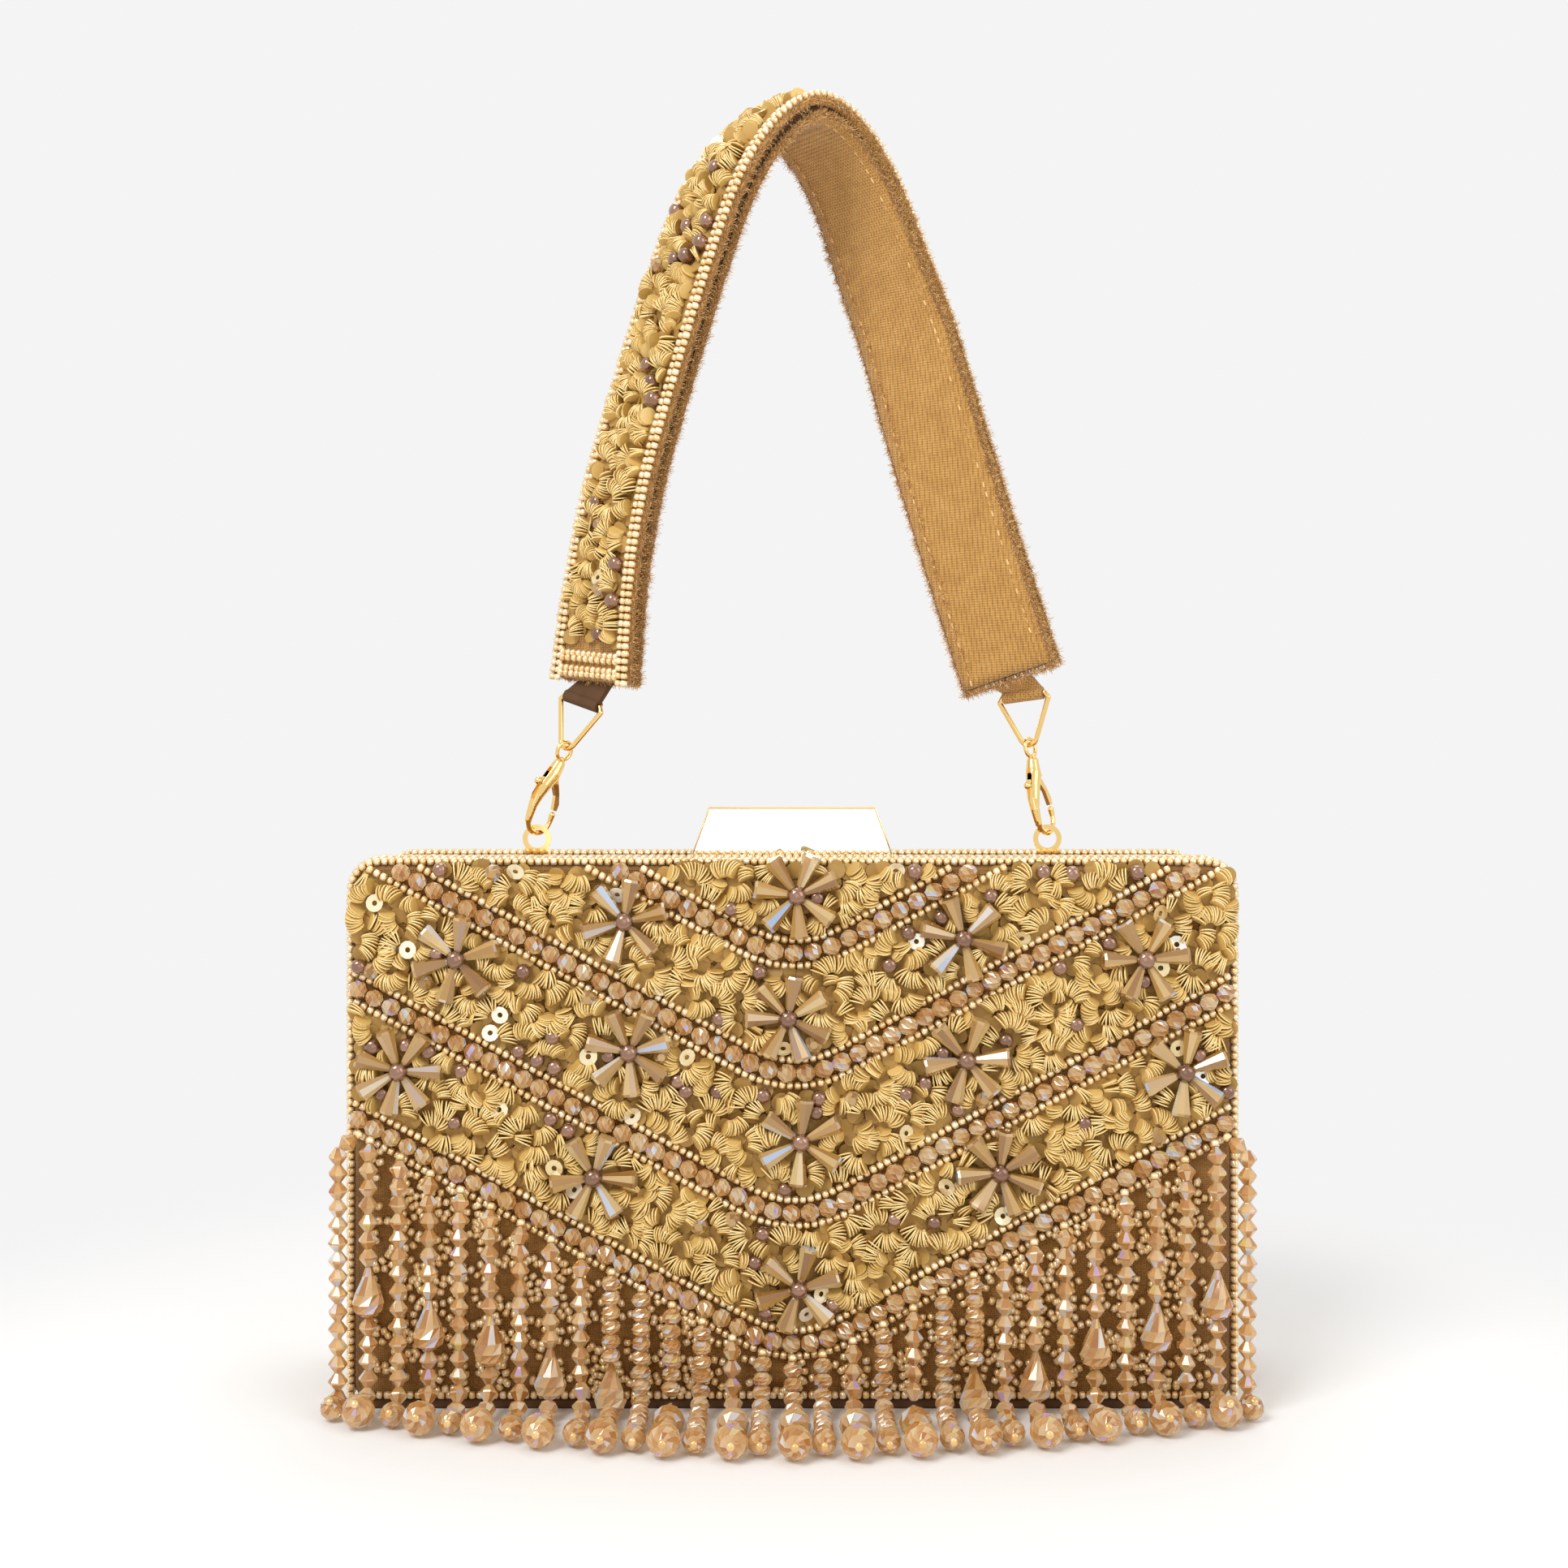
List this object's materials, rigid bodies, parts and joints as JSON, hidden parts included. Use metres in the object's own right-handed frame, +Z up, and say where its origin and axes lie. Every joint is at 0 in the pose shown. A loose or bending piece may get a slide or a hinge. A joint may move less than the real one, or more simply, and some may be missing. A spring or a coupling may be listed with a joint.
{
  "type": "evening bag",
  "caption": "Hard box clutch whose front half opens on a base hinge, with tip-back clasp, clip-on strap, chevron beadwork and a bead fringe.",
  "frame": {"origin": "middle of the base, under the parting plane between the two halves", "axes": "+Z up; +X to the right as the front is seen; the front faces -Y"},
  "size_m": [0.2156, 0.0859, 0.3119],
  "materials": {
    "shell_board": "moulded half shell",
    "silk": "slubbed gold-brown silk",
    "gold_metal": "polished pale gold plate",
    "spring_steel": "plain spring wire",
    "suede": "short-pile suede lining",
    "seed_beads": "silver-lined pale gold seed beads",
    "crystal_beads": "faceted peach crystals between seed beads",
    "sequins": "stacked matte sand-gold sequins and pearls",
    "flower_beads": "smoky tube crystals round a bronze pearl",
    "fringe_beads": "faceted champagne crystals",
    "velvet": "velvet",
    "strap_board": "stiffening between the strap's layers"
  },
  "bodies": {
    "rear_half": {"rear_shell": "shell_board", "rear_cover": "silk", "rear_frame": "gold_metal", "rear_lining": "suede", "rear_edge_beading": "seed_beads", "slip_pocket": "suede", "rear_hinge_knuckles": "gold_metal", "hinge_pin": "gold_metal", "clasp_bracket": "gold_metal", "clasp_pin": "gold_metal", "clasp_spring": "spring_steel", "bracket_rivets": "gold_metal", "lug_rivets": "gold_metal", "left_lug": "gold_metal", "right_lug": "gold_metal"},
    "front_half": {"front_shell": "shell_board", "front_cover": "silk", "front_frame": "gold_metal", "front_lining": "suede", "front_edge_beading": "seed_beads", "front_hinge_knuckles": "gold_metal", "front_catch": "gold_metal", "catch_rivets": "gold_metal", "chevron_band_1": "crystal_beads", "chevron_band_2": "crystal_beads", "chevron_band_3": "crystal_beads", "fringe_header": "crystal_beads", "sequin_field_1": "sequins", "sequin_field_2": "sequins", "sequin_field_3": "sequins", "sequin_field_4": "sequins", "flowers": "flower_beads"},
    "clasp_lever": {"clasp_bar": "gold_metal"},
    "left_clip": {"left_clip_body": "gold_metal", "left_clip_pin": "gold_metal"},
    "right_clip": {"right_clip_body": "gold_metal", "right_clip_pin": "gold_metal"},
    "left_trigger": {"left_clip_trigger": "gold_metal"},
    "right_trigger": {"right_clip_trigger": "gold_metal"},
    "strap": {"strap_face": "sequins", "strap_core": "strap_board", "strap_lining": "velvet", "left_strap_tab": "velvet", "right_strap_tab": "velvet", "left_triangle_ring": "gold_metal", "right_triangle_ring": "gold_metal"},
    "fringe_middle_strands": {"fringe_middle": "fringe_beads"},
    "fringe_left_1_strands": {"fringe_left_1": "fringe_beads"},
    "fringe_right_1_strands": {"fringe_right_1": "fringe_beads"},
    "fringe_left_2_strands": {"fringe_left_2": "fringe_beads"},
    "fringe_right_2_strands": {"fringe_right_2": "fringe_beads"},
    "fringe_left_3_strands": {"fringe_left_3": "fringe_beads"},
    "fringe_right_3_strands": {"fringe_right_3": "fringe_beads"},
    "fringe_left_4_strands": {"fringe_left_4": "fringe_beads"},
    "fringe_right_4_strands": {"fringe_right_4": "fringe_beads"},
    "fringe_left_5_strands": {"fringe_left_5": "fringe_beads"},
    "fringe_right_5_strands": {"fringe_right_5": "fringe_beads"}
  },
  "joints": [
    {"name": "lid_hinge", "type": "hinge", "parent": "rear_half", "child": "front_half", "pos_m": [0, 0, 0.0022], "axis": [1, 0, 0], "range_deg": [0, 60]},
    {"name": "clasp_tip", "type": "hinge", "parent": "rear_half", "child": "clasp_lever", "pos_m": [0, 0.003, 0.1305], "axis": [-1, 0, 0], "range_deg": [0, 14], "stiffness_Nm_per_rad": 0.1, "springref_deg": -11.46},
    {"name": "left_clip_swing", "type": "hinge", "parent": "rear_half", "child": "left_clip", "pos_m": [0, 0.0014, 0.1354], "axis": [-1, 0, 0], "range_deg": [-20, 20]},
    {"name": "right_clip_swing", "type": "hinge", "parent": "rear_half", "child": "right_clip", "pos_m": [0, 0.0014, 0.1354], "axis": [-1, 0, 0], "range_deg": [-20, 20]},
    {"name": "strap_fold", "type": "hinge", "parent": "left_clip", "child": "strap", "pos_m": [0, 0.00127, 0.15676], "axis": [-1, 0, 0], "range_deg": [-20, 20]},
    {"name": "left_trigger_press", "type": "hinge", "parent": "left_clip", "child": "left_trigger", "pos_m": [-0.05912, 0.00029, 0.14762], "axis": [-0.7405, 0.6157, 0.2695], "range_deg": [0, 14], "stiffness_Nm_per_rad": 0.01, "springref_deg": -11.46},
    {"name": "right_trigger_press", "type": "hinge", "parent": "right_clip", "child": "right_trigger", "pos_m": [0.06014, 0.00131, 0.14792], "axis": [-0.7708, 0.6157, -0.1638], "range_deg": [0, 14], "stiffness_Nm_per_rad": 0.01, "springref_deg": -11.46},
    {"name": "fringe_middle_sway", "type": "hinge", "parent": "front_half", "child": "fringe_middle_strands", "pos_m": [0, -0.0278, 0.01281], "axis": [-1, 0, 0], "range_deg": [0, 50]},
    {"name": "fringe_left_1_sway", "type": "hinge", "parent": "front_half", "child": "fringe_left_1_strands", "pos_m": [0, -0.0278, 0.06474], "axis": [-1, 0, 0], "range_deg": [0, 50]},
    {"name": "fringe_right_1_sway", "type": "hinge", "parent": "front_half", "child": "fringe_right_1_strands", "pos_m": [0, -0.0278, 0.06409], "axis": [-1, 0, 0], "range_deg": [0, 50]},
    {"name": "fringe_left_2_sway", "type": "hinge", "parent": "front_half", "child": "fringe_left_2_strands", "pos_m": [0, -0.0278, 0.05564], "axis": [-1, 0, 0], "range_deg": [0, 50]},
    {"name": "fringe_right_2_sway", "type": "hinge", "parent": "front_half", "child": "fringe_right_2_strands", "pos_m": [0, -0.0278, 0.05498], "axis": [-1, 0, 0], "range_deg": [0, 50]},
    {"name": "fringe_left_3_sway", "type": "hinge", "parent": "front_half", "child": "fringe_left_3_strands", "pos_m": [0, -0.0278, 0.04419], "axis": [-1, 0, 0], "range_deg": [0, 50]},
    {"name": "fringe_right_3_sway", "type": "hinge", "parent": "front_half", "child": "fringe_right_3_strands", "pos_m": [0, -0.0278, 0.04354], "axis": [-1, 0, 0], "range_deg": [0, 50]},
    {"name": "fringe_left_4_sway", "type": "hinge", "parent": "front_half", "child": "fringe_left_4_strands", "pos_m": [0, -0.0278, 0.03275], "axis": [-1, 0, 0], "range_deg": [0, 50]},
    {"name": "fringe_right_4_sway", "type": "hinge", "parent": "front_half", "child": "fringe_right_4_strands", "pos_m": [0, -0.0278, 0.03209], "axis": [-1, 0, 0], "range_deg": [0, 50]},
    {"name": "fringe_left_5_sway", "type": "hinge", "parent": "front_half", "child": "fringe_left_5_strands", "pos_m": [0, -0.0278, 0.0213], "axis": [-1, 0, 0], "range_deg": [0, 50]},
    {"name": "fringe_right_5_sway", "type": "hinge", "parent": "front_half", "child": "fringe_right_5_strands", "pos_m": [0, -0.0278, 0.02065], "axis": [-1, 0, 0], "range_deg": [0, 50]}
  ],
  "couplings": [
    {"joint": "right_clip_swing", "follows": "left_clip_swing", "ratio": 1}
  ]
}
